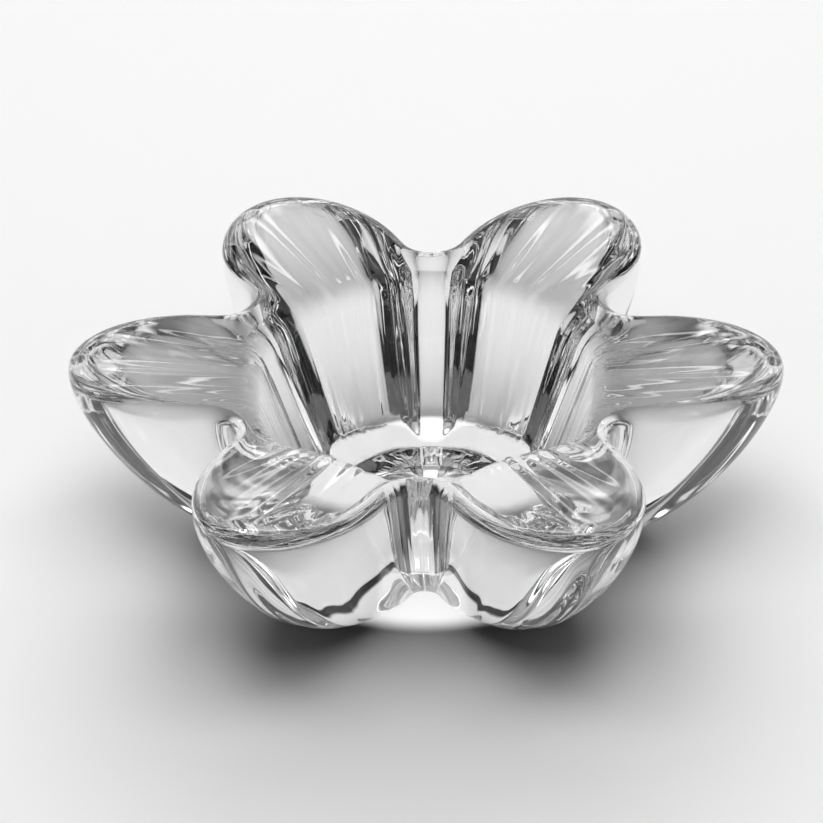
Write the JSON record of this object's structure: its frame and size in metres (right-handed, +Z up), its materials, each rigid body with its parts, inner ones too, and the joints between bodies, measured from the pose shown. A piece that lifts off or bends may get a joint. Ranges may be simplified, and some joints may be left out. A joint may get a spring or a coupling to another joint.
{
  "type": "candle holder",
  "caption": "Low flower-shaped candle holder of thick clear glass, with rounded petals round a candle well and a flat foot.",
  "frame": {"origin": "on the axis of the candle well, in the plane of the flat foot", "axes": "+Z up along the axis of the well, +X towards the tip of a petal"},
  "size_m": [0.15, 0.1338, 0.043],
  "materials": {
    "clear_glass": "fire-polished clear pressed glass"
  },
  "bodies": {
    "root": {"glass_holder": "clear_glass"}
  },
  "joints": []
}
